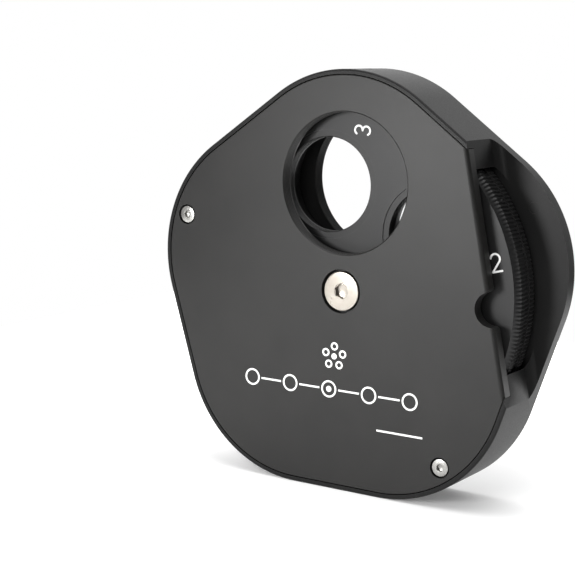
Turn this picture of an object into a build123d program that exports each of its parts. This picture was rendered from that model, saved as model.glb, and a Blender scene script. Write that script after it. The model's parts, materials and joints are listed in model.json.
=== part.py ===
from build123d import *
import os
from math import atan2, cos, degrees, radians, sin, tan

# Five-position manual filter wheel for 1.25 inch filters. Millimetres.
# Row frame: the optical axis runs along Y, the front face looks towards -Y, +Z is up, and the
# wheel stands on the flat between its two lower lobes. Each piece is first drawn lying down:
# x to the right, y up the wheel, z towards the front face, with the axle at the origin.
# stand() then turns it upright.

# housing outline: five round lobes joined by tangent flats
lobeCount = 5
lobeStep = 360 / lobeCount
lobeDistance = 24.4
lobeRadius = 39.9
fullDepth = 22.5
outerChamfer = 0.6
flatDistance = lobeDistance * cos(radians(lobeStep / 2)) + lobeRadius

# front plate, let into the rim of the housing
rimWidth = 1.4
plateGap = 0.2
plateThickness = 4.0
plateChamfer = 0.35

# the pocket that the carousel turns in
floorDepth = 17.9
pocketRadius = 55.2

# T2 ports, M42 x 0.75, drawn plain at the minor radius
portCentre = 31.5
portRadius = 20.6
portChamfer = 0.4

# thumb opening: a flat cut through plate and wall
thumbAngle = 12.1
thumbDistance = 47.0
thumbRootRadius = 3.0
thumbFloorChamfer = 0.5
thumbEdgeRadius = 1.2
notchRadius = 5.0
notchLipRadius = 1.2
markRadius = 1.7
markDepth = 0.12
markPlace = (51.7, 27.2)

# carousel
carouselRadius = 54.2
carouselFront = 5.6
carouselBack = 16.2
rimChamferIn = 1.8
rimChamferDeep = 1.5
rearRimChamfer = 0.8
restTurn = 15.7
seatRadius = 13.95
seatChamfer = 0.25
seatRingRadius = 16.05
seatRingDepth = 0.3
webBack = 9.3
wellRadius = 16.4
trackWidth = 3.4
trackDepth = 0.5
dimpleRadius = 1.15
dimpleDepth = 0.6

# axle stack
boltRadius = 3.0
boltHeadRadius = 5.8
boltHeadHeight = 2.1
boltHeadSink = 0.25
boltSocketAcross = 4.0
boltSocketDepth = 1.5
boltTipSink = 0.4
boltHoleClearance = 0.1
counterboreRadius = 6.5
sleeveRadius = 6.0
sleeveBoreRadius = 3.05
bushRadius = 8.0
bushClearance = 0.03
washerRadius = 10.0
washerClearance = 0.1
washerGap = 0.1
rearWasherThickness = 0.8
discSpringThickness = 0.35

# cover screws, M3
screwRadius = 1.5
screwHeadRadius = 2.6
screwHeadHeight = 1.9
screwHeadSink = 0.2
screwSocketAcross = 2.0
screwSocketDepth = 1.1
screwLength = 11.0
screwCounterbore = 3.05
screwPlace = 58.4
screwAngles = {"cover_screw_upper_left": 162, "cover_screw_lower_right": -54}

# click stop in the top lobe: ball, spring and threaded plug on one radial bore
ballRadius = 1.5
ballClearance = 0.05
ballBoreRadius = 1.55
plugRadius = 2.0
plugStart = 61.2
plugEnd = 64.0
plugSocketAcross = 2.0
plugSocketDepth = 1.4
springMeanRadius = 1.2
springWireRadius = 0.175
springTurns = 6
springStart = 56.47

# numerals and face marking, printed in white
printThickness = 0.04
numeralRadii = {1: 47.4, 2: 48.0, 3: 46.8, 4: 47.4, 5: 47.4}
numeralLag = 18.7
numeralStroke = 0.56
markingStroke = 0.55

middleDepth = (carouselFront + carouselBack) / 2
trackRadius = carouselRadius - trackDepth
ballPlace = trackRadius + ballClearance + ballRadius


def level(depth):
    """Height in the lying frame of a plane this far behind the front face."""
    return fullDepth / 2 - depth


def polar(radius, angle):
    return Vector(radius * cos(radians(angle)), radius * sin(radians(angle)))


def stand(shape):
    """Turn a lying piece upright, with the axle at its height over the base."""
    return Pos(0, 0, flatDistance) * Rot(90, 0, 0) * shape


def outline(inset):
    """The five-lobed outline, moved inwards by the inset."""
    radius = lobeRadius - inset
    edges = []
    for lobe in range(lobeCount):
        angle = 90 + lobe * lobeStep
        half = lobeStep / 2
        centre = polar(lobeDistance, angle)
        following = polar(lobeDistance, angle + lobeStep)
        finish = centre + polar(radius, angle + half)
        edges.append(ThreePointArc(centre + polar(radius, angle - half), centre + polar(radius, angle), finish))
        edges.append(Line(finish, following + polar(radius, angle + half)))
    return make_face(edges)


def slab(face, nearDepth, farDepth):
    """A flat face made into a solid between two depths behind the front."""
    return Pos(0, 0, level(farDepth)) * extrude(face, farDepth - nearDepth)


def disc(radius, nearDepth, farDepth, place=Vector(0, 0)):
    return slab(Pos(place.X, place.Y) * Circle(radius), nearDepth, farDepth)


def ring(outer, inner, nearDepth, farDepth):
    return slab(Circle(outer) - Circle(inner), nearDepth, farDepth)


def flare(radius, chamfer, depth, inwards, place):
    """A cone that breaks the edge of a hole: widest at the depth, narrowing by the chamfer."""
    cone = Cone(radius, radius + 2 * chamfer, 2 * chamfer)
    turned = cone if inwards else Rot(180, 0, 0) * cone
    return Pos(place.X, place.Y, level(depth)) * turned


def thumbCut(farDepth, rootRadius=0):
    """The flat-sided cut that opens the wheel's edge to a thumb."""
    reach = 40
    wide = 120
    tall = farDepth + 1
    block = Box(reach, wide, tall, align=(Align.MIN, Align.CENTER, Align.MIN))
    if rootRadius:
        root = block.edges().filter_by(Axis.Y).sort_by(Axis.Z)[:2].sort_by(Axis.X)[0]
        block = fillet(root, rootRadius)
    return Rot(0, 0, thumbAngle) * Pos(thumbDistance, 0, level(farDepth)) * block


def thumbSide(edge):
    """How far an edge's middle lies towards the thumb opening."""
    return edge.center().dot(polar(1, thumbAngle))


def topBore(radius, start, finish):
    """A hole up the middle of the top lobe, from one distance off the axle to another."""
    along = Cylinder(radius, finish - start, align=(Align.CENTER, Align.CENTER, Align.MIN))
    return Pos(0, start, level(middleDepth)) * Rot(-90, 0, 0) * along


def hexSocket(across, depth):
    """A hexagonal key socket that opens upwards at height 0."""
    hexagon = RegularPolygon(across / 2, 6, major_radius=False)
    return Pos(0, 0, -depth) * extrude(hexagon, depth + 0.01)


def rearHousing():
    port = Vector(0, portCentre)
    shape = slab(outline(0), 0, fullDepth)
    rims = shape.faces().sort_by(Axis.Z)
    shape = chamfer(rims[0].edges() + rims[-1].edges(), outerChamfer)
    shape -= slab(outline(rimWidth), -1, plateThickness)
    shape -= disc(pocketRadius, 0, floorDepth)
    shape -= thumbCut(floorDepth, thumbRootRadius)
    floorEdges = [
        edge
        for edge in shape.edges()
        if abs(edge.center().Z - level(floorDepth)) < 0.01 and edge.center().length > flatDistance - 1
    ]
    shape = chamfer(floorEdges, thumbFloorChamfer)
    shape -= disc(markRadius, floorDepth - 1, floorDepth + markDepth, Vector(*markPlace))
    shape -= disc(portRadius, floorDepth - 1, fullDepth + 1, port)
    shape -= flare(portRadius, portChamfer, fullDepth, False, port)
    shape -= disc(boltRadius, floorDepth - 1, fullDepth + 1)
    for angle in screwAngles.values():
        shape -= disc(screwRadius, 0, screwLength + 1.5, polar(screwPlace, angle))
    shape -= topBore(ballBoreRadius, pocketRadius - 1, plugStart)
    shape -= topBore(plugRadius, plugStart, lobeDistance + lobeRadius + 1)
    return shape


def notchFace():
    """The round notch in the plate's straight edge, with both its lips rounded."""
    along = -thumbDistance * tan(radians(thumbAngle))
    beyond = Pos(thumbDistance, 0) * Rectangle(2 * notchRadius, 60, align=(Align.MIN, Align.CENTER))
    notch = beyond + Pos(thumbDistance, along) * Circle(notchRadius)
    lips = [
        corner
        for corner in notch.vertices()
        if abs((Vector(corner.X, corner.Y) - Vector(thumbDistance, along)).length - notchRadius) < 0.01
    ]
    return Rot(0, 0, thumbAngle) * fillet(lips, notchLipRadius)


def frontPlate():
    port = Vector(0, portCentre)
    shape = slab(outline(rimWidth + plateGap), 0, plateThickness)
    shape = chamfer(shape.faces().sort_by(Axis.Z)[-1].edges(), plateChamfer)
    shape -= thumbCut(plateThickness + 1)
    inFront = shape.faces().sort_by(Axis.Z)[-1].edges()
    shape = fillet(inFront.filter_by(GeomType.LINE).sort_by(thumbSide)[-1], thumbEdgeRadius)
    shape -= slab(notchFace(), -1, plateThickness + 1)
    shape -= disc(portRadius, -1, plateThickness + 1, port)
    shape -= flare(portRadius, portChamfer, 0, True, port)
    headSeat = boltHeadSink + boltHeadHeight
    shape -= disc(counterboreRadius, -1, headSeat)
    shape -= disc(boltRadius + boltHoleClearance, 0, plateThickness + 1)
    for angle in screwAngles.values():
        place = polar(screwPlace, angle)
        shape -= disc(screwCounterbore, -1, screwHeadSink + screwHeadHeight, place)
        shape -= disc(screwRadius + boltHoleClearance, 0, plateThickness + 1, place)
    return shape


def capScrew(headRadius, headHeight, shankRadius, length, across, socketDepth, edge):
    """A screw pointing down with the top of its head at height 0."""
    head = Cylinder(headRadius, headHeight, align=(Align.CENTER, Align.CENTER, Align.MAX))
    head = chamfer(head.edges().sort_by(Axis.Z)[-1], edge)
    shank = Cylinder(shankRadius, length, align=(Align.CENTER, Align.CENTER, Align.MAX))
    shank = chamfer(shank.edges().sort_by(Axis.Z)[0], shankRadius / 6)
    return head + Pos(0, 0, -headHeight) * shank - hexSocket(across, socketDepth)


def coverScrew(angle):
    place = polar(screwPlace, angle)
    screw = capScrew(
        screwHeadRadius, screwHeadHeight, screwRadius, screwLength - screwHeadHeight, screwSocketAcross,
        screwSocketDepth, 0.25,
    )
    return Pos(place.X, place.Y, level(screwHeadSink)) * screw


def axleBolt():
    length = fullDepth - boltTipSink - boltHeadSink - boltHeadHeight
    bolt = capScrew(
        boltHeadRadius, boltHeadHeight, boltRadius, length, boltSocketAcross, boltSocketDepth, 0.3
    )
    return Pos(0, 0, level(boltHeadSink)) * bolt


def axleSleeve():
    return ring(sleeveRadius, sleeveBoreRadius, plateThickness, floorDepth)


def frontWasher():
    return ring(washerRadius, sleeveRadius + washerClearance, plateThickness, carouselFront - washerGap)


def rearWasher():
    near = carouselBack + washerGap
    return ring(washerRadius, sleeveRadius + washerClearance, near, near + rearWasherThickness)


def discSpring():
    """A coned washer that takes up the play behind the rear washer."""
    top = level(carouselBack + washerGap + rearWasherThickness)
    bottom = level(floorDepth)
    inner = sleeveRadius + 2 * washerClearance
    outer = washerRadius - 2 * washerClearance
    section = Polyline(
        (inner, 0, top), (inner, 0, top - discSpringThickness), (outer, 0, bottom),
        (outer, 0, bottom + discSpringThickness), close=True,
    )
    return revolve(make_face(section), Axis.Z)


def filterAngle(position):
    """Where this filter position stands at rest, with position 3 just past the port."""
    return 90 + restTurn + (position - 3) * lobeStep


def carousel():
    low, high = level(carouselBack), level(carouselFront)
    trackLow = level(middleDepth) - trackWidth / 2
    trackHigh = level(middleDepth) + trackWidth / 2
    section = Polyline(
        (bushRadius, 0, low), (carouselRadius - rearRimChamfer, 0, low), (carouselRadius, 0, low + rearRimChamfer),
        (carouselRadius, 0, trackLow), (trackRadius, 0, trackLow), (trackRadius, 0, trackHigh),
        (carouselRadius, 0, trackHigh), (carouselRadius, 0, high - rimChamferDeep),
        (carouselRadius - rimChamferIn, 0, high), (bushRadius, 0, high), close=True,
    )
    shape = revolve(make_face(section), Axis.Z)
    for position in range(1, lobeCount + 1):
        angle = filterAngle(position)
        place = polar(portCentre, angle)
        shape -= disc(seatRadius, 0, fullDepth, place)
        shape -= disc(seatRingRadius, carouselFront - 1, carouselFront + seatRingDepth, place)
        shape -= flare(seatRadius, seatChamfer, carouselFront + seatRingDepth, True, place)
        shape -= disc(wellRadius, webBack, carouselBack + 1, place)
        shape -= flare(seatRadius, seatChamfer, webBack, False, place)
        dimple = Cone(dimpleRadius, 0.05, dimpleDepth, align=(Align.CENTER, Align.CENTER, Align.MIN))
        inwards = Pos(trackRadius, 0, level(middleDepth)) * Rot(0, -90, 0) * dimple
        shape -= Rot(0, 0, angle) * inwards
    return shape


def carouselBush():
    return ring(bushRadius, sleeveRadius + bushClearance, carouselFront, carouselBack)


def detentBall():
    return Pos(0, ballPlace, level(middleDepth)) * Sphere(ballRadius)


def detentSpring():
    length = plugStart - springWireRadius - 0.02 - springStart
    path = Helix(length / springTurns, length, springMeanRadius)
    section = Plane(origin=path @ 0, z_dir=path % 0) * Circle(springWireRadius)
    coil = sweep(section, path=path, is_frenet=True)
    return Pos(0, springStart, level(middleDepth)) * Rot(-90, 0, 0) * coil


def detentPlug():
    height = plugEnd - plugStart
    body = Cylinder(plugRadius, height, align=(Align.CENTER, Align.CENTER, Align.MAX))
    body = chamfer(body.edges().sort_by(Axis.Z)[0], 0.3) - hexSocket(plugSocketAcross, plugSocketDepth)
    return Pos(0, plugEnd, level(middleDepth)) * Rot(-90, 0, 0) * body


def penLine(start, finish):
    """A straight pen line with round ends."""
    along = Vector(*finish) - Vector(*start)
    middle = (Vector(*start) + Vector(*finish)) / 2
    turn = degrees(atan2(along.Y, along.X))
    return Pos(middle.X, middle.Y) * Rot(0, 0, turn) * SlotCenterToCenter(along.length, numeralStroke)


def penArc(centre, radius, start, sweep):
    """A curved pen line with round ends, turned about a centre from a start angle."""
    half = numeralStroke / 2
    outer = CenterArc(centre, radius + half, start, sweep)
    inner = CenterArc(centre, radius - half, start, sweep)
    band = make_face([outer, inner, Line(outer @ 0, inner @ 0), Line(outer @ 1, inner @ 1)])
    ends = [Vector(*centre) + polar(radius, angle) for angle in (start, start + sweep)]
    return band + [Pos(end.X, end.Y) * Circle(half) for end in ends]


def joined(shapes):
    """One face from several that overlap."""
    return shapes[0] + shapes[1:]


def numeralFace(number):
    """A numeral about its middle, 5 mm tall before the pen's width."""
    top, right = 2.5, 1.45
    if number == 1:
        return joined([penLine((-0.85, 1.6), (0.35, top)), penLine((0.35, top), (0.35, -top))])
    if number == 2:
        bowl = penArc((0, 1.1), 1.4, 165, -205)
        tail = Vector(0, 1.1) + polar(1.4, -40)
        foot = (-right, -top)
        return joined([bowl, penLine((tail.X, tail.Y), foot), penLine(foot, (right, -top))])
    if number == 3:
        return joined([penArc((0, 1.25), 1.25, 150, -240), penArc((0, -1.25), 1.25, 90, -240)])
    if number == 4:
        bar = -1.1
        return joined(
            [penLine((0.7, -top), (0.7, top)), penLine((0.7, top), (-right, bar)), penLine((-right, bar), (right, bar))]
        )
    bowl = penArc((-0.1, -1.0), 1.5, 130, -280)
    start = Vector(-0.1, -1.0) + polar(1.5, 130)
    corner = (-0.95, top)
    return joined([penLine((1.25, top), corner), penLine(corner, (start.X, start.Y)), bowl])


def numeral(number):
    angle = filterAngle(number) - numeralLag
    face = Rot(0, 0, angle) * Pos(numeralRadii[number], 0) * numeralFace(number)
    return slab(face, carouselFront - printThickness, carouselFront)


def circleMark(radius, place):
    return Pos(*place) * (Circle(radius + markingStroke / 2) - Circle(radius - markingStroke / 2))


def faceMarking():
    """Plain generic signs: a rosette, a row of five linked rings and a short rule."""
    marks = [Pos(-1.5, -19.5) * Circle(0.9)]
    for petal in range(lobeCount):
        marks.append(circleMark(0.95, Vector(-1.5, -19.5) + polar(3.0, 90 + petal * lobeStep)))
    spacing, ringRadius, row = 13.5, 2.3, -29.5
    for step in range(-2, 3):
        marks.append(circleMark(ringRadius, (step * spacing - 3, row)))
    linkLength = spacing - 2 * (ringRadius + markingStroke) - 0.8
    for step in range(-2, 2):
        marks.append(Pos((step + 0.5) * spacing - 3, row) * Rectangle(linkLength, markingStroke))
    marks.append(Pos(-3, row) * Circle(0.9))
    marks.append(Pos(21.0, -39.5) * Rectangle(15, markingStroke))
    return [slab(mark, -printThickness, 0) for mark in marks]


def build():
    pieces = {
        "rear_housing": rearHousing(),
        "front_plate": frontPlate(),
        "axle_bolt": axleBolt(),
        "axle_sleeve": axleSleeve(),
        "thrust_washer_front": frontWasher(),
        "thrust_washer_rear": rearWasher(),
        "disc_spring_washer": discSpring(),
        "carousel": carousel(),
        "carousel_bush": carouselBush(),
        "detent_ball": detentBall(),
        "detent_spring": detentSpring(),
        "detent_plug": detentPlug(),
        "face_marking": Compound(children=faceMarking()),
    }
    for name, angle in screwAngles.items():
        pieces[name] = coverScrew(angle)
    for number in range(1, lobeCount + 1):
        pieces[f"number_{number}"] = numeral(number)
    return pieces


os.makedirs("parts", exist_ok=True)
for node, piece in build().items():
    export_step(stand(piece), f"parts/{node}.step")
    print(node, round(piece.volume, 2))
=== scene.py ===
import json
import math

import bmesh
import bpy
from mathutils import Matrix, Vector


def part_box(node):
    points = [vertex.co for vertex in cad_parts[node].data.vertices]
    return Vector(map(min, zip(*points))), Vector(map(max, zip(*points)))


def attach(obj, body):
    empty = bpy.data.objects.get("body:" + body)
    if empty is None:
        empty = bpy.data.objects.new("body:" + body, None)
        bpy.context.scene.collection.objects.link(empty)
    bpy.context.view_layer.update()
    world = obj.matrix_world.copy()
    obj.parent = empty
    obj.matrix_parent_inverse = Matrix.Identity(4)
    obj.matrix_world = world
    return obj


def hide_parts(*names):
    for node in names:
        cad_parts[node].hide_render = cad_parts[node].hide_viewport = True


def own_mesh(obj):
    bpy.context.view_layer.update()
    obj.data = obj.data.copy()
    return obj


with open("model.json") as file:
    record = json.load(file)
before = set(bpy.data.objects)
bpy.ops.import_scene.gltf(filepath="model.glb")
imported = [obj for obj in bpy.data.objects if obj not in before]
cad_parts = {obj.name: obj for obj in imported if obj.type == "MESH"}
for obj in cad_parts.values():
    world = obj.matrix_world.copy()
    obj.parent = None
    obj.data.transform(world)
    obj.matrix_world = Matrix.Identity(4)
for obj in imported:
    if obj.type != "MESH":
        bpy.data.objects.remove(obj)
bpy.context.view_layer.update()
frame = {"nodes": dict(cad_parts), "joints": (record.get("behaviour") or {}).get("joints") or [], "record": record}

# Pieces are drawn in millimetres with the axle at the origin: x to the right, y backwards from the
# front face, z up. placed() then puts them in the frame, in metres.
mm = 0.001
joints = {joint["name"]: joint for joint in frame["joints"]}
mounts = {mount["name"]: mount for mount in frame["record"]["mounts"]}
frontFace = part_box("rear_housing")[0].y
axleHeight = joints["carousel_turn"]["pos_m"][2]
toFrame = Matrix.Translation((0, frontFace, axleHeight)) @ Matrix.Scale(mm, 4)
toDrawing = toFrame.inverted()
spare = 1  # how far a cutting shape reaches past the metal


def drawnBox(node):
    low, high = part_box(node)
    return toDrawing @ low, toDrawing @ high


def drawnMount(name):
    return toDrawing @ Vector(mounts[name]["pos_m"])


def polar(radius, angle):
    return radius * math.cos(math.radians(angle)), radius * math.sin(math.radians(angle))


# mesh tools

def pressed(bm):
    bmesh.ops.remove_doubles(bm, verts=bm.verts, dist=0.0005)
    bmesh.ops.recalc_face_normals(bm, faces=bm.faces)
    return bm


def turned(profile, centre=(0, 0), steps=128, closed=False):
    # profile is (radius, depth) pairs, spun round an axis along y through the centre
    bm = bmesh.new()
    verts = [bm.verts.new((centre[0] + radius, depth, centre[1])) for radius, depth in profile]
    edges = [bm.edges.new(pair) for pair in zip(verts, verts[1:])]
    if closed:
        edges.append(bm.edges.new((verts[-1], verts[0])))
    bmesh.ops.spin(
        bm, geom=verts + edges, cent=(centre[0], 0, centre[1]), axis=(0, 1, 0), angle=math.tau, steps=steps,
        use_merge=True,
    )
    return pressed(bm)


def looseObject(bm):
    mesh = bpy.data.meshes.new("loose")
    bm.to_mesh(mesh)
    bm.free()
    made = bpy.data.objects.new("loose", mesh)
    bpy.context.scene.collection.objects.link(made)
    return made


def cut(bm, tools):
    # takes the tools out of the solid, one after another
    solid = looseObject(bm)
    cutters = [looseObject(tool) for tool in tools]
    for cutter in cutters:
        step = solid.modifiers.new("cut", "BOOLEAN")
        step.operation = "DIFFERENCE"
        step.solver = "EXACT"
        step.object = cutter
    bpy.context.view_layer.update()
    finished = solid.evaluated_get(bpy.context.evaluated_depsgraph_get())
    mesh = bpy.data.meshes.new_from_object(finished)
    result = bmesh.new()
    result.from_mesh(mesh)
    for old in [solid] + cutters:
        bpy.data.objects.remove(old)
    bpy.data.meshes.remove(mesh)
    return pressed(result)


def rounded(bm, edges, width, segments):
    bmesh.ops.bevel(
        bm, geom=edges, offset=width, segments=segments, profile=0.5, affect="EDGES", clamp_overlap=True,
        material=-1,
    )


def levelEdges(bm, depth):
    # the edges that lie all along one depth
    return [edge for edge in bm.edges if all(abs(vert.co.y - depth) < 0.001 for vert in edge.verts)]


def placed(name, bm, material, body, stands=(), sharpAngle=32):
    bmesh.ops.recalc_face_normals(bm, faces=bm.faces)
    bmesh.ops.transform(bm, matrix=toFrame, verts=bm.verts)
    mesh = bpy.data.meshes.new(name)
    bm.to_mesh(mesh)
    bm.free()
    mesh.shade_smooth()
    mesh.set_sharp_from_angle(angle=math.radians(sharpAngle))
    mesh.materials.append(material)
    piece = bpy.data.objects.new(name, mesh)
    bpy.context.scene.collection.objects.link(piece)
    evened = piece.modifiers.new("even normals", "WEIGHTED_NORMAL")
    evened.keep_sharp = True
    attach(piece, body)
    if stands:
        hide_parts(*stands)
    print("made", name, len(mesh.polygons), "faces")
    return piece


# shader tools

class Signal:
    # a node's output, with arithmetic that adds Math nodes
    def __init__(self, shader, output):
        self.shader = shader
        self.output = output

    def combined(self, operation, first, second):
        return self.shader.node("ShaderNodeMath", {"operation": operation}, {0: first, 1: second})

    def __add__(self, other):
        return self.combined("ADD", self, other)

    def __sub__(self, other):
        return self.combined("SUBTRACT", self, other)

    def __rsub__(self, other):
        return self.combined("SUBTRACT", other, self)

    def __mul__(self, other):
        return self.combined("MULTIPLY", self, other)

    __radd__ = __add__
    __rmul__ = __mul__


class Shader:
    def __init__(self, name, metallic=0.0, specular=0.5):
        self.material = bpy.data.materials.new(name)
        self.material.use_nodes = True
        self.tree = self.material.node_tree
        self.surface = self.tree.nodes["Principled BSDF"]
        self.surface.inputs["Metallic"].default_value = metallic
        self.surface.inputs["Specular IOR Level"].default_value = specular
        self.place = self.node("ShaderNodeTexCoord", output="Object")

    def node(self, kind, settings=None, inputs=None, output=0):
        made = self.tree.nodes.new(kind)
        for name, value in (settings or {}).items():
            setattr(made, name, value)
        for name, value in (inputs or {}).items():
            self.feed(made.inputs[name], value)
        return Signal(self, made.outputs[output])

    def feed(self, socket, value):
        if isinstance(value, Signal):
            self.tree.links.new(value.output, socket)
        else:
            socket.default_value = value

    def set(self, **values):
        for name, value in values.items():
            self.feed(self.surface.inputs[name.replace("_", " ")], value)

    def noise(self, size, detail=3.0, rough=0.5):
        # mottling whose lumps are about this many millimetres across
        return self.node(
            "ShaderNodeTexNoise", {},
            {"Vector": self.place, "Scale": 1 / (size * mm), "Detail": detail, "Roughness": rough},
        )

    def ranged(self, signal, fromLow, fromHigh, toLow, toHigh):
        return self.node(
            "ShaderNodeMapRange", {"clamp": True},
            {"Value": signal, "From Min": fromLow, "From Max": fromHigh, "To Min": toLow, "To Max": toHigh},
        )

    def blend(self, factor, first, second):
        # each colour is three numbers or another node's output
        first, second = ((*tone, 1) if isinstance(tone, tuple) else tone for tone in (first, second))
        return self.node("ShaderNodeMix", {"data_type": "RGBA"}, {0: factor, 6: first, 7: second}, output=2)

    def bump(self, height, distance, strength=1.0):
        inputs = {"Height": height, "Distance": distance * mm, "Strength": strength}
        return self.node("ShaderNodeBump", {}, inputs)

    def edges(self, radius):
        # 0 on open faces, rising towards 1 along the edges
        soft = self.node("ShaderNodeBevel", {"samples": 4}, {"Radius": radius * mm})
        hard = self.node("ShaderNodeNewGeometry", output="True Normal")
        along = self.node(
            "ShaderNodeVectorMath", {"operation": "DOT_PRODUCT"}, {0: soft, 1: hard}, output="Value"
        )
        return self.ranged(1 - along, 0.0, 0.3, 0.0, 1.0)


anodising = {
    "bodyDark": (0.009, 0.009, 0.009), "bodyLight": (0.012, 0.0119, 0.0118),
    "plateDark": (0.012, 0.0118, 0.0114), "plateLight": (0.016, 0.0156, 0.015),
    "carouselDark": (0.007, 0.007, 0.0072), "carouselLight": (0.010, 0.010, 0.010),
    # the edge colour is a painted highlight laid along the edges, in patches, shaped by the values on the last
    # line
    "edge": (0.045, 0.044, 0.043), "bodyShine": 0.13, "plateShine": 0.26,
    "bodyRoughness": 0.38, "plateRoughness": 0.4, "cloudSize": 18, "grainSize": 0.35, "grainDepth": 0.02,
    "edgeHighlightWidth": 0.35, "edgeHighlightAmount": 0.5, "highlightPatchSize": 2.5,
}


def anodised(name, dark, light, roughness, shine):
    # bead-blasted and dyed aluminium: a fine matt grain and faint clouds, with a painted highlight: the edges are
    # painted lighter, in patches, where they would catch the light
    shader = Shader(name, metallic=0.0, specular=shine)
    clouds = shader.noise(anodising["cloudSize"], 4)
    grain = shader.noise(anodising["grainSize"], 2, 0.6)
    highlightPatches = shader.ranged(shader.noise(anodising["highlightPatchSize"]), 0.35, 0.65, 0.3, 1.0)
    # painted highlight: the edges are made lighter and a little glossier where they would catch the light
    paintedEdgeHighlight = shader.edges(anodising["edgeHighlightWidth"]) * highlightPatches * anodising["edgeHighlightAmount"]
    tone = shader.blend(shader.ranged(clouds * 0.6 + grain * 0.4, 0.38, 0.62, 0.0, 1.0), dark, light)
    shader.set(
        Base_Color=shader.blend(paintedEdgeHighlight, tone, anodising["edge"]),
        Roughness=shader.ranged(grain, 0.3, 0.7, roughness - 0.05, roughness + 0.05) - paintedEdgeHighlight * 0.12,
        Normal=shader.bump(grain, anodising["grainDepth"], 0.5),
    )
    return shader.material


metals = {
    "nickel": {"tone": (0.345, 0.318, 0.282), "dull": (0.285, 0.262, 0.232), "roughness": 0.3},
    "bright": {"tone": (0.62, 0.61, 0.59), "dull": (0.52, 0.51, 0.49), "roughness": 0.28},
    "ground": {"tone": (0.60, 0.59, 0.57), "dull": (0.52, 0.51, 0.49), "roughness": 0.3},
    "bronze": {"tone": (0.62, 0.40, 0.18), "dull": (0.50, 0.32, 0.14), "roughness": 0.35},
    "stainless": {"tone": (0.40, 0.395, 0.38), "dull": (0.32, 0.315, 0.30), "roughness": 0.3},
}
turning = {"pitch": 0.12, "depth": 0.004}


def metal(name, kind, centre=None):
    # bare metal, with turning marks round the centre where one is given
    tone, dull, roughness = (metals[kind][key] for key in ("tone", "dull", "roughness"))
    shader = Shader(name, metallic=1.0)
    smudges = shader.noise(3.0, 3)
    fine = shader.noise(0.25, 2)
    height = fine * 0.3
    if centre is not None:
        offset = shader.node(
            "ShaderNodeMapping", {}, {"Vector": shader.place, "Location": [-part for part in centre]}
        )
        radius = shader.node(
            "ShaderNodeVectorMath", {"operation": "LENGTH"},
            {0: shader.node("ShaderNodeVectorMath", {"operation": "MULTIPLY"}, {0: offset, 1: (1, 0, 1)})},
            output="Value",
        )
        turns = radius * (math.tau / (turning["pitch"] * mm))
        wave = shader.node("ShaderNodeMath", {"operation": "SINE"}, {0: turns})
        height = height + wave * 0.5
    shader.set(
        Base_Color=shader.blend(shader.ranged(smudges, 0.35, 0.7, 0.0, 1.0), tone, dull),
        Roughness=shader.ranged(smudges, 0.3, 0.7, roughness - 0.04, roughness + 0.06),
        Normal=shader.bump(height, turning["depth"], 0.6),
    )
    return shader.material


def plain(name, tone, dull, roughness, grain=0.4, depth=0.01):
    shader = Shader(name)
    mottle = shader.noise(grain, 3)
    shader.set(
        Base_Color=shader.blend(shader.ranged(mottle, 0.35, 0.65, 0.0, 1.0), tone, dull),
        Roughness=shader.ranged(mottle, 0.3, 0.7, roughness - 0.05, roughness + 0.05),
        Normal=shader.bump(mottle, depth, 0.5),
    )
    return shader.material


bodyBlack = anodised("bodyBlack", anodising["bodyDark"], anodising["bodyLight"], anodising["bodyRoughness"],
                     anodising["bodyShine"])
plateBlack = anodised("plateBlack", anodising["plateDark"], anodising["plateLight"], anodising["plateRoughness"],
                      anodising["plateShine"])
carouselBlack = anodised("carouselBlack", anodising["carouselDark"], anodising["carouselLight"],
                         anodising["bodyRoughness"], anodising["plateShine"])
boltNickel = metal("boltNickel", "nickel", centre=toFrame.translation)
springBright = metal("springBright", "bright")
sleeveGround = metal("sleeveGround", "ground")
bushBronze = metal("bushBronze", "bronze")
slideNylon = plain("slideNylon", (0.84, 0.83, 0.79), (0.76, 0.75, 0.71), 0.45)
whitePrint = plain("whitePrint", (0.90, 0.90, 0.89), (0.84, 0.84, 0.83), 0.55, grain=0.25, depth=0.004)
print("materials ready")

# the shell and its front plate

outline = {"lobes": 5, "lobeDistance": 24.4, "lobeRadius": 39.9, "steps": 240}
shell = {
    "rimWidth": 1.4, "outerEdge": 0.6, "pocketRadius": 55.2, "floorDepth": 17.9, "floorEdge": 0.5,
    "boltRadius": 3.0, "screwRadius": 1.5, "screwDeep": 12.5,
    "detentBore": 1.55, "plugBore": 2.0, "plugStart": 61.2, "boreOverlap": 0.5,
    "markRadius": 1.7, "markDepth": 0.12, "markPlace": (51.7, 27.2),
}
thumb = {"angle": 12.1, "distance": 47.0, "root": 3.0, "reach": 40, "width": 120}
plate = {"gap": 0.2, "thickness": 4.0, "edge": 0.35, "thumbEdge": 1.2, "notchRadius": 5.0, "lip": 1.2}
port = {"minor": 20.6, "major": 21.0, "pitch": 0.75, "chamfer": 0.4, "steps": 180}
screws = {
    "axleHole": 6.5, "axleDeep": 2.35, "axleClear": 3.1, "coverHole": 3.05, "coverDeep": 2.1, "coverClear": 1.6,
}

shellHigh = drawnBox("rear_housing")[1]
carouselLow, carouselHigh = drawnBox("carousel")
fullDepth = shellHigh.y
middleDepth = (carouselLow.y + carouselHigh.y) / 2
portPlace = drawnMount("front_port")


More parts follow.
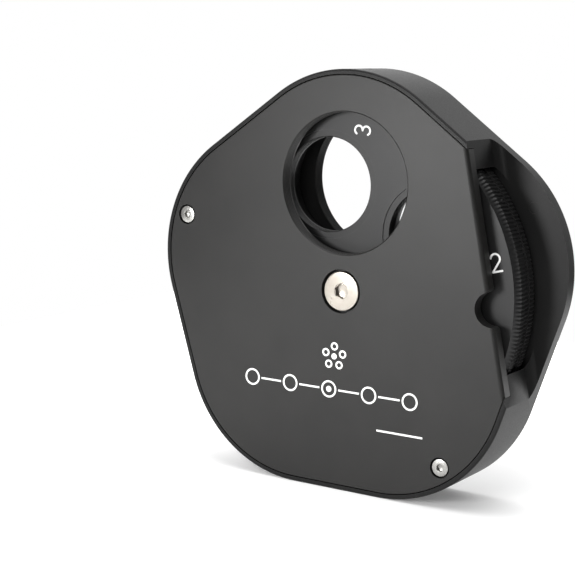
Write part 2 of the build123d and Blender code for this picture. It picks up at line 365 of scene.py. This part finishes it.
def lobedSlab(inset, near, far):
    # five round lobes and the flats that join them: the hull of five discs
    bm = bmesh.new()
    radius = outline["lobeRadius"] - inset
    for lobe in range(outline["lobes"]):
        x, z = polar(outline["lobeDistance"], 90 + lobe * 360 / outline["lobes"])
        place = Matrix.Translation((x, (near + far) / 2, z)) @ Matrix.Rotation(math.pi / 2, 4, "X")
        bmesh.ops.create_cone(
            bm, segments=outline["steps"], radius1=radius, radius2=radius, depth=far - near, matrix=place
        )
    bmesh.ops.delete(bm, geom=bm.edges[:] + bm.faces[:], context="EDGES_FACES")
    hull = bmesh.ops.convex_hull(bm, input=bm.verts)
    unused = {item for item in hull["geom_interior"] if isinstance(item, bmesh.types.BMVert)}
    bmesh.ops.delete(bm, geom=list(unused), context="VERTS")
    bmesh.ops.dissolve_limit(bm, angle_limit=math.radians(0.4), verts=bm.verts, edges=bm.edges)
    return pressed(bm)


def prism(points, along):
    # a flat outline pushed along a direction
    bm = bmesh.new()
    bottom = [bm.verts.new(point) for point in points]
    face = bm.faces.new(bottom)
    pushed = bmesh.ops.extrude_face_region(bm, geom=[face])
    top = [item for item in pushed["geom"] if isinstance(item, bmesh.types.BMVert)]
    bmesh.ops.translate(bm, verts=top, vec=along)
    return pressed(bm)


def arc(centre, radius, start, end, steps):
    angles = [start + (end - start) * step / steps for step in range(steps + 1)]
    return [(centre[0] + x, centre[1] + z) for x, z in (polar(radius, angle) for angle in angles)]


def tilted(bm):
    # from square to the axes to the slant of the thumb opening
    slant = Matrix.Rotation(-math.radians(thumb["angle"]), 3, "Y")
    bmesh.ops.rotate(bm, verts=bm.verts, cent=(0, 0, 0), matrix=slant)
    return bm


def thumbTool(far, root=0.0, edge=0.0):
    # the block that opens the side, drawn in x and depth: its foot is rounded by the root, and it leaves
    # a rounded edge at the front
    near, out, half = thumb["distance"], thumb["distance"] + thumb["reach"], thumb["width"] / 2
    points = [(out, -spare), (near - edge, -spare)]
    points += arc((near - edge, edge), edge, -90, 0, 10) if edge else [(near, 0)]
    points += arc((near + root, far - root), root, 180, 90, 10) if root else [(near, far)]
    points.append((out, far))
    return tilted(prism([(x, y, -half) for x, y in points], (0, 0, 2 * half)))


def notchTool():
    # the round notch in the plate's straight edge, its two lips eased by small arcs
    radius, lip, line = plate["notchRadius"], plate["lip"], thumb["distance"]
    along = -line * math.tan(math.radians(thumb["angle"]))
    rise = math.sqrt(radius * radius + 2 * radius * lip)
    lean = math.degrees(math.atan2(rise, -lip))
    points = [(line + radius, along + rise)]
    points += arc((line - lip, along + rise), lip, 0, lean - 180, 8)
    points += arc((line, along), radius, lean, 360 - lean, 64)[1:-1]
    points += arc((line - lip, along - rise), lip, 180 - lean, 0, 8)
    points.append((line + radius, along - rise))
    deep = plate["thickness"] + 2 * spare
    return tilted(prism([(x, -spare, z) for x, z in points], (0, deep, 0)))


def drill(radius, near, far, centre=(0, 0), steps=64):
    return turned([(0, near), (radius, near), (radius, far), (0, far)], centre, steps)


def threads(minor, major, pitch, near, far):
    # the sides of a tapped hole: each groove takes the middle eight tenths of its pitch
    count = int((far - near) / pitch)
    profile = [(minor, near)]
    for turn in range(count):
        start = near + turn * pitch
        profile += [(minor, start + 0.1 * pitch), (major, start + 0.5 * pitch), (minor, start + 0.9 * pitch)]
    return profile + [(minor, far)]


def crossBore(radius, start, end, steps=48):
    # a hole up the middle of the top lobe
    bm = bmesh.new()
    place = Matrix.Translation((0, middleDepth, (start + end) / 2))
    bmesh.ops.create_cone(
        bm, cap_ends=True, segments=steps, radius1=radius, radius2=radius, depth=end - start, matrix=place
    )
    return pressed(bm)


def portTool(near, far, openFront):
    # a tapped port, with its mouth broken on the outer side
    minor, chamfer = port["minor"], port["chamfer"]
    if openFront:
        profile = [(0, near - spare), (minor + chamfer + spare, near - spare)]
        profile += threads(minor, port["major"], port["pitch"], near + chamfer, far)
        profile += [(minor, far + spare), (0, far + spare)]
    else:
        profile = [(0, near - spare), (minor, near - spare)]
        profile += threads(minor, port["major"], port["pitch"], near, far - chamfer)
        profile += [(minor + chamfer + spare, far + spare), (0, far + spare)]
    return turned(profile, (portPlace.x, portPlace.z), port["steps"])


def screwPlaces():
    for node in ("cover_screw_upper_left", "cover_screw_lower_right"):
        low, high = drawnBox(node)
        yield node, ((low.x + high.x) / 2, (low.z + high.z) / 2)


def rearHousing():
    bm = lobedSlab(0, 0, fullDepth)
    rounded(bm, levelEdges(bm, 0) + levelEdges(bm, fullDepth), shell["outerEdge"], 3)
    floor = shell["floorDepth"]
    tools = [
        lobedSlab(shell["rimWidth"], -spare, plate["thickness"]),
        drill(shell["pocketRadius"], 1, floor, steps=240),
        thumbTool(floor, thumb["root"]),
        drill(shell["markRadius"], floor - spare, floor + shell["markDepth"], shell["markPlace"]),
        portTool(floor, fullDepth, False),
        drill(shell["boltRadius"], floor - spare, fullDepth + spare),
        crossBore(shell["detentBore"], shell["pocketRadius"] - spare, shell["plugStart"] + shell["boreOverlap"]),
        crossBore(shell["plugBore"], shell["plugStart"], shellHigh.z + spare),
    ]
    tools += [drill(shell["screwRadius"], 1, shell["screwDeep"], centre) for node, centre in screwPlaces()]
    bm = cut(bm, tools)
    reach = outline["lobeDistance"] * math.cos(math.pi / outline["lobes"]) + outline["lobeRadius"] - 1
    floorEdge = [edge for edge in levelEdges(bm, floor)
                 if all(math.hypot(vert.co.x, vert.co.z) > reach for vert in edge.verts)]
    rounded(bm, floorEdge, shell["floorEdge"], 2)
    placed("rearHousing", bm, bodyBlack, "housing", ["rear_housing"])


def frontPlate():
    bm = lobedSlab(shell["rimWidth"] + plate["gap"], 0, plate["thickness"])
    rounded(bm, levelEdges(bm, 0), plate["edge"], 2)
    past = plate["thickness"] + spare
    bm = cut(bm, [thumbTool(past, edge=plate["thumbEdge"]), notchTool()])
    tools = [portTool(0, plate["thickness"], True), drill(screws["axleHole"], -spare, screws["axleDeep"]),
             drill(screws["axleClear"], 1, past)]
    for node, centre in screwPlaces():
        tools += [drill(screws["coverHole"], -spare, screws["coverDeep"], centre),
                  drill(screws["coverClear"], 1, past, centre)]
    bm = cut(bm, tools)
    placed("frontPlate", bm, plateBlack, "housing", ["front_plate"])


rearHousing()
frontPlate()

# the disc that carries the filters

wheel = {
    "teeth": 288, "toothDepth": 0.3, "toothLip": 0.12, "frontIn": 1.8, "frontDeep": 1.5, "rearEdge": 0.8,
    "trackWidth": 3.4, "trackDepth": 0.5, "dimpleRadius": 1.15, "dimpleTip": 0.05, "dimpleDepth": 0.6, "bore": 8.0,
    "seatMinor": 13.95, "seatMajor": 14.25, "seatPitch": 0.6, "seatChamfer": 0.25,
    "ringRadius": 16.05, "ringDepth": 0.3, "webBack": 9.3, "wellRadius": 16.4,
}


def carousel():
    near, far = carouselLow.y, carouselHigh.y
    rim = (carouselHigh.z - carouselLow.z) / 2
    trackFloor = rim - wheel["trackDepth"]
    trackNear, trackFar = middleDepth - wheel["trackWidth"] / 2, middleDepth + wheel["trackWidth"] / 2
    toothIn = wheel["toothDepth"] + wheel["toothLip"]
    toothStart, toothNear = rim - wheel["frontIn"] + toothIn, toothIn / wheel["frontIn"] * wheel["frontDeep"]
    profile = [
        (wheel["bore"], near), (rim - wheel["frontIn"], near), (toothStart, near + toothNear),
        (rim, near + wheel["frontDeep"]),
        (rim, trackNear), (trackFloor, trackNear), (trackFloor, trackFar), (rim, trackFar),
        (rim, far - wheel["rearEdge"]), (rim - wheel["rearEdge"], far), (wheel["bore"], far),
    ]
    steps = 2 * wheel["teeth"]
    bm = turned(profile, steps=steps, closed=True)
    for vert in bm.verts:
        radius = math.hypot(vert.co.x, vert.co.z)
        step = round(math.atan2(vert.co.z, vert.co.x) / math.tau * steps)
        if radius > toothStart - 0.01 and step % 2:
            shrink = (radius - wheel["toothDepth"]) / radius
            vert.co.x *= shrink
            vert.co.z *= shrink
    tools = []
    minor, chamfer = wheel["seatMinor"], wheel["seatChamfer"]
    for number in range(1, 6):
        seat = drawnMount(f"filter_seat_{number}")
        centre = (seat.x, seat.z)
        ledge = near + wheel["ringDepth"]
        profile = [(0, near - spare), (wheel["ringRadius"], near - spare), (wheel["ringRadius"], ledge),
                   (minor + chamfer, ledge)]
        webBack, well = wheel["webBack"], wheel["wellRadius"]
        profile += threads(minor, wheel["seatMajor"], wheel["seatPitch"], ledge + chamfer, webBack - chamfer)
        profile += [(minor + chamfer, webBack), (well, webBack), (well, far - chamfer),
                    (well + chamfer + spare, far + spare), (0, far + spare)]
        tools.append(turned(profile, centre, 144))
        dimple = bmesh.new()
        angle = math.atan2(seat.z, seat.x)
        depth, tip = wheel["dimpleDepth"], wheel["dimpleTip"]
        inwards = Matrix.Translation((trackFloor - depth / 2 + tip, middleDepth, 0))
        place = Matrix.Rotation(-angle, 4, "Y") @ inwards @ Matrix.Rotation(math.pi / 2, 4, "Y")
        bmesh.ops.create_cone(dimple, cap_ends=True, segments=32, radius1=tip, radius2=wheel["dimpleRadius"],
                              depth=depth + 2 * tip, matrix=place)
        tools.append(pressed(dimple))
    bm = cut(bm, tools)
    placed("carouselDisc", bm, carouselBlack, "carousel", ["carousel"])


carousel()

# the axle bolt and the cover screws

axleBolt = {"head": 5.8, "deep": 2.1, "shank": 3.0, "across": 4.0, "socket": 1.5, "edge": 0.35}
coverScrew = {"head": 2.6, "deep": 1.9, "shank": 1.5, "across": 2.0, "socket": 1.1, "edge": 0.3}
screwThread = {"pitch": 0.5, "start": 0.6, "runOut": 1.0, "depth": 0.18}
keySocket = {"mouthEdge": 0.12, "drillShare": 0.46, "drillLap": 0.2, "drillPoint": 0.2}


def hexTool(across, near, far, centre, turn):
    # the six-sided part of a key socket
    bm = bmesh.new()
    radius = across / 2 / math.cos(math.pi / 6)
    place = (Matrix.Translation((centre[0], (near + far) / 2, centre[1]))
             @ Matrix.Rotation(math.pi / 2, 4, "X") @ Matrix.Rotation(math.radians(turn), 4, "Z"))
    bmesh.ops.create_cone(
        bm, cap_ends=True, segments=6, radius1=radius, radius2=radius, depth=far - near, matrix=place
    )
    return pressed(bm)


def socketScrew(node, values, material, turn):
    low, high = drawnBox(node)
    centre = ((low.x + high.x) / 2, (low.z + high.z) / 2)
    top, tip = low.y, high.y
    head, shank, edge = values["head"], values["shank"], values["edge"]
    under = top + values["deep"]
    profile = [(0, top), (head - edge, top), (head - 0.3 * edge, top + 0.3 * edge), (head, top + edge),
               (head, under), (shank, under)]
    pitch = screwThread["pitch"]
    for groove in range(int((tip - under - screwThread["runOut"]) / pitch)):
        start = under + screwThread["start"] + groove * pitch
        profile += [(shank, start), (shank - screwThread["depth"], start + pitch / 2)]
    profile += [(shank, tip - shank / 6), (shank * 5 / 6, tip), (0, tip)]
    bm = turned(profile, centre, 96)
    across = values["across"]
    mouth = across / 2 / math.cos(math.pi / 6)
    bottom = top + values["socket"]
    eased = keySocket["mouthEdge"]
    drilled, lap = across * keySocket["drillShare"], bottom - keySocket["drillLap"]
    tools = [
        hexTool(across, top - spare, bottom, centre, turn),
        turned([(0, top - spare), (mouth + spare, top - spare), (mouth - eased, top + eased), (0, top + eased)],
               centre, 48),
        turned([(0, lap), (drilled, lap), (drilled, bottom), (0, bottom + across * keySocket["drillPoint"])],
               centre, 32),
    ]
    bm = cut(bm, tools)
    placed(node.replace("_", "-"), bm, material, "housing", [node])


socketScrew("axle_bolt", axleBolt, boltNickel, 12)
for node, centre in list(screwPlaces()):
    steel = metal("screwSteel-" + node, "stainless", centre=toFrame @ Vector((centre[0], 0, centre[1])))
    socketScrew(node, coverScrew, steel, 20)

# what the carousel turns on, and the ball that clicks into it

stack = {
    "sleeve": {"outer": 6.0, "bore": 3.05, "near": 4.0, "far": 17.9, "edge": 0.3},
    "bush": {"outer": 8.0, "bore": 6.03, "edge": 0.3},
    "washer": {"outer": 10.0, "bore": 6.1, "edge": 0.15},
    "coned": {"outer": 9.8, "bore": 6.2, "thick": 0.35},
}
click = {
    "plugRadius": 2.0, "plugGroove": 0.18, "plugPitch": 0.5, "plugEdge": 0.3, "across": 2.0, "socket": 1.4,
    "wire": 0.175, "coil": 1.2, "turns": 6, "springStart": 56.47, "endGap": 0.02, "stepsPerTurn": 36, "sides": 10,
}


def tube(name, node, outer, bore, near, far, edge, material, body):
    profile = [(bore, near + edge), (bore + edge, near), (outer - edge, near), (outer, near + edge),
               (outer, far - edge), (outer - edge, far), (bore + edge, far), (bore, far - edge)]
    return placed(name, turned(profile, closed=True), material, body, [node])


def axleStack():
    sleeve, bush, washer, coned = (stack[key] for key in ("sleeve", "bush", "washer", "coned"))
    tube("axleSleeve", "axle_sleeve", sleeve["outer"], sleeve["bore"], sleeve["near"], sleeve["far"],
         sleeve["edge"], sleeveGround, "housing")
    tube("carouselBush", "carousel_bush", bush["outer"], bush["bore"], carouselLow.y, carouselHigh.y,
         bush["edge"], bushBronze, "carousel")
    for name, node in (("frontWasher", "thrust_washer_front"), ("rearWasher", "thrust_washer_rear")):
        low, high = drawnBox(node)
        tube(name, node, washer["outer"], washer["bore"], low.y, high.y, washer["edge"], slideNylon,
             "housing")
    low, high = drawnBox("disc_spring_washer")
    thick = coned["thick"]
    cone = turned([(coned["bore"], low.y), (coned["outer"], high.y - thick), (coned["outer"], high.y),
                   (coned["bore"], low.y + thick)], closed=True)
    placed("discSpring", cone, springBright, "housing", ["disc_spring_washer"])


def upright(bm):
    # from drawn along y to standing in the top lobe, its depth become height over the axle
    bmesh.ops.rotate(bm, verts=bm.verts, cent=(0, 0, 0), matrix=Matrix.Rotation(math.pi / 2, 3, "X"))
    bmesh.ops.translate(bm, verts=bm.verts, vec=(0, middleDepth, 0))
    return bm


def detentPlug(low, high):
    radius, edge, pitch = click["plugRadius"], click["plugEdge"], click["plugPitch"]
    profile = [(0, low.z), (radius - edge, low.z), (radius, low.z + edge)]
    for groove in range(int((high.z - low.z - 2 * edge) / pitch)):
        start = low.z + edge + groove * pitch
        profile += [(radius - click["plugGroove"], start + pitch / 2), (radius, start + pitch)]
    profile += [(radius, high.z - edge / 2), (radius - edge / 2, high.z), (0, high.z)]
    socket = hexTool(click["across"], high.z - click["socket"], high.z + spare, (0, 0), 0)
    bm = upright(cut(turned(profile, steps=64), [socket]))
    placed("detentPlug", bm, springBright, "housing", ["detent_plug"])


def detentSpring(top):
    # a coil whose last half turn at each end lies flat
    wire, coil, turns, start = click["wire"], click["coil"], click["turns"], click["springStart"]
    length = top - wire - click["endGap"] - start
    bm = bmesh.new()
    rings, stepsPerTurn, sides = [], click["stepsPerTurn"], click["sides"]
    total = int((turns + 1) * stepsPerTurn)
    for step in range(total + 1):
        share = min(max((step / stepsPerTurn - 0.5) / turns, 0), 1)
        angle = math.tau * step / stepsPerTurn
        middle = Vector((coil * math.cos(angle), coil * math.sin(angle), start + share * length))
        outwards = Vector((math.cos(angle), math.sin(angle), 0))
        rings.append([
            bm.verts.new(middle + wire * (math.cos(turn) * outwards + math.sin(turn) * Vector((0, 0, 1))))
            for turn in (math.tau * side / sides for side in range(sides))
        ])
    for ring, following in zip(rings, rings[1:]):
        for side in range(sides):
            other = (side + 1) % sides
            bm.faces.new((ring[side], ring[other], following[other], following[side]))
    bm.faces.new(rings[0])
    bm.faces.new(rings[-1])
    bmesh.ops.translate(bm, verts=bm.verts, vec=(0, middleDepth, 0))
    piece = placed("detentSpring", bm, springBright, "housing", ["detent_spring"])
    stroke = joints["detent_ball_travel"]["range_m"][1] / mm
    (top - start - stroke) / (top - start)
    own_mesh(piece)


def clickStop():
    low, high = drawnBox("detent_plug")
    detentPlug(low, high)
    detentSpring(low.z)
    low, high = drawnBox("detent_ball")
    bm = bmesh.new()
    place = Matrix.Translation((low + high) / 2)
    bmesh.ops.create_uvsphere(bm, u_segments=48, v_segments=24, radius=(high.x - low.x) / 2, matrix=place)
    placed("detentBall", bm, springBright, "detent_ball", ["detent_ball"])


axleStack()
clickStop()

for node in ("number_1", "number_2", "number_3", "number_4", "number_5", "face_marking"):
    frame["nodes"][node].data.materials.clear()
    frame["nodes"][node].data.materials.append(whitePrint)

# floor, light and camera

studio = {
    "floorSize": 0.5, "floorTone": 0.86, "floorRoughness": 0.9,
    # paintedShadowGlow is how much the floor glows close to the object: a painted shadow round its base, fading
    # out between paintedShadowInner and paintedShadowOuter
    "paintedShadowGlow": 0.16, "glowFar": 1.0, "paintedShadowInner": 0.055, "paintedShadowOuter": 0.16,
    "seenSky": 1.0, "litSky": 1.2, "fullRise": 0.7, "brightest": (-0.6, 0.3, 0.75),
    "lights": {
        "keyLight": {"azimuth": -20, "elevation": 5, "distance": 0.38, "size": 0.13, "power": 0.9},
        "fillLight": {"azimuth": 14, "elevation": 24, "distance": 0.6, "size": 0.25, "power": 1.2},
        "sideLight": {"azimuth": 40, "elevation": 60, "distance": 1.0, "size": 0.4, "power": 0.9},
        "backLight": {"azimuth": 150, "elevation": 8, "distance": 1.0, "size": 0.6, "power": 0.6},
        "topLight": {"azimuth": 0, "elevation": 86, "distance": 1.0, "size": 0.8, "power": 4.8},
    },
}
viewer = {
    "azimuth": 32.19, "elevation": 9.20, "roll": 1.45, "distance": 459.8, "across": 15.46, "above": -1.15,
    "sensor": 36, "focal": 1577.7, "picture": 575,
}


def lightAndFloor():
    bm = bmesh.new()
    bmesh.ops.create_grid(bm, x_segments=4, y_segments=4, size=studio["floorSize"] / 2)
    mesh = bpy.data.meshes.new("floor")
    bm.to_mesh(mesh)
    bm.free()
    floor = bpy.data.objects.new("floor", mesh)
    bpy.context.scene.collection.objects.link(floor)
    paper = Shader("floorPaper", specular=0.1)
    # the floor glows white far away, and its glow is painted down close to the object as a painted shadow round
    # the base
    reach = paper.node("ShaderNodeVectorMath", {"operation": "LENGTH"}, {0: paper.place}, output="Value")
    glowWithPaintedShadow = paper.ranged(reach, studio["paintedShadowInner"], studio["paintedShadowOuter"], studio["paintedShadowGlow"], studio["glowFar"])
    paper.set(Base_Color=(*[studio["floorTone"]] * 3, 1), Roughness=studio["floorRoughness"],
              Emission_Color=paper.blend(glowWithPaintedShadow, (0, 0, 0), (1, 1, 1)), Emission_Strength=1.0)
    mesh.materials.append(paper.material)
    world = bpy.data.worlds.new("studio")
    world.use_nodes = True
    tree = world.node_tree
    seen, lit = tree.nodes["Background"], tree.nodes.new("ShaderNodeBackground")
    for sky, name, strength in ((seen, "seenSky", studio["seenSky"]), (lit, "litSky", studio["litSky"])):
        sky.name = name
        sky.inputs["Color"].default_value = (1, 1, 1, 1)
        sky.inputs["Strength"].default_value = strength
    # the sky that lights the object is bright above, behind and to its left, and dark on the other side
    upwards = tree.nodes.new("ShaderNodeVectorMath")
    upwards.operation = "DOT_PRODUCT"
    upwards.inputs[1].default_value = Vector(studio["brightest"]).normalized()
    tree.links.new(tree.nodes.new("ShaderNodeTexCoord").outputs["Generated"], upwards.inputs[0])
    rise = tree.nodes.new("ShaderNodeMapRange")
    rise.interpolation_type = "SMOOTHSTEP"
    rise.inputs["From Max"].default_value = studio["fullRise"]
    rise.inputs["To Max"].default_value = studio["litSky"]
    tree.links.new(upwards.outputs["Value"], rise.inputs["Value"])
    tree.links.new(rise.outputs["Result"], lit.inputs["Strength"])
    chosen = tree.nodes.new("ShaderNodeMixShader")
    tree.links.new(tree.nodes.new("ShaderNodeLightPath").outputs["Is Camera Ray"], chosen.inputs[0])
    tree.links.new(lit.outputs[0], chosen.inputs[1])
    tree.links.new(seen.outputs[0], chosen.inputs[2])
    tree.links.new(chosen.outputs[0], tree.nodes["World Output"].inputs["Surface"])
    bpy.context.scene.world = world
    aim = Vector((0, 0, axleHeight))
    for name, values in studio["lights"].items():
        aside, rising = math.radians(values["azimuth"]), math.radians(values["elevation"])
        level = math.cos(rising)
        away = Vector((math.sin(aside) * level, -math.cos(aside) * level, math.sin(rising)))
        data = bpy.data.lights.new(name, "AREA")
        data.shape = "DISK"
        data.size = values["size"]
        data.energy = values["power"]
        light = bpy.data.objects.new(name, data)
        light.visible_camera = False
        light.location = aim + values["distance"] * away
        light.rotation_mode = "QUATERNION"
        light.rotation_quaternion = (-away).to_track_quat("-Z", "Y")
        bpy.context.scene.collection.objects.link(light)


def camera():
    azimuth, elevation, roll = (math.radians(viewer[key]) for key in ("azimuth", "elevation", "roll"))
    back = Vector((math.sin(azimuth) * math.cos(elevation), -math.cos(azimuth) * math.cos(elevation),
                   math.sin(elevation)))
    level = Vector((math.cos(azimuth), math.sin(azimuth), 0))
    overhead = back.cross(level)
    right = math.cos(roll) * level + math.sin(roll) * overhead
    up = -math.sin(roll) * level + math.cos(roll) * overhead
    place = toFrame @ (viewer["distance"] * back - viewer["across"] * right - viewer["above"] * up)
    data = bpy.data.cameras.new("camera")
    data.sensor_width = viewer["sensor"]
    data.lens = data.sensor_width * viewer["focal"] / viewer["picture"]
    made = bpy.data.objects.new("camera", data)
    made.matrix_world = Matrix.Translation(place) @ Matrix((right, up, back)).transposed().to_4x4()
    bpy.context.scene.collection.objects.link(made)
    bpy.context.scene.camera = made


lightAndFloor()
camera()
bpy.context.scene.view_settings.view_transform = "Standard"
print("scene ready")
